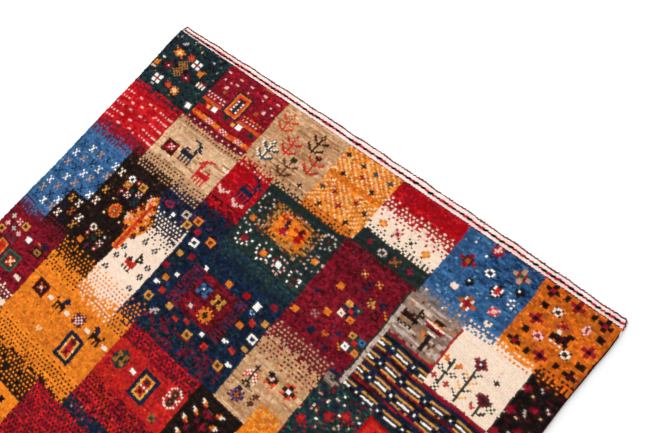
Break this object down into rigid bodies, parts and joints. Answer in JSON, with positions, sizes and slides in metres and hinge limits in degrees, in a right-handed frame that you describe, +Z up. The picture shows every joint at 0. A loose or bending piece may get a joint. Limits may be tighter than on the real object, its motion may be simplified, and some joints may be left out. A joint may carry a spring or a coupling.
{
  "type": "gabbeh rug",
  "caption": "Hand-knotted wool gabbeh rug: patchwork panels of folk motifs in a short pile, flatwoven bands at the ends and overcast cords along the sides, lying flat",
  "frame": {"origin": "the floor under the middle of the rug's bounding box", "axes": "+X across the rug, +Y along it, +Z up out of the pile"},
  "size_m": [1.0094, 1.501, 0.0103],
  "materials": {
    "pile": "short wool pile in many colours",
    "selvedge": "wool yarn wrapped over the side warps"
  },
  "bodies": {
    "root": {"rug": "pile", "selvedge_left": "selvedge", "selvedge_right": "selvedge"}
  },
  "joints": []
}
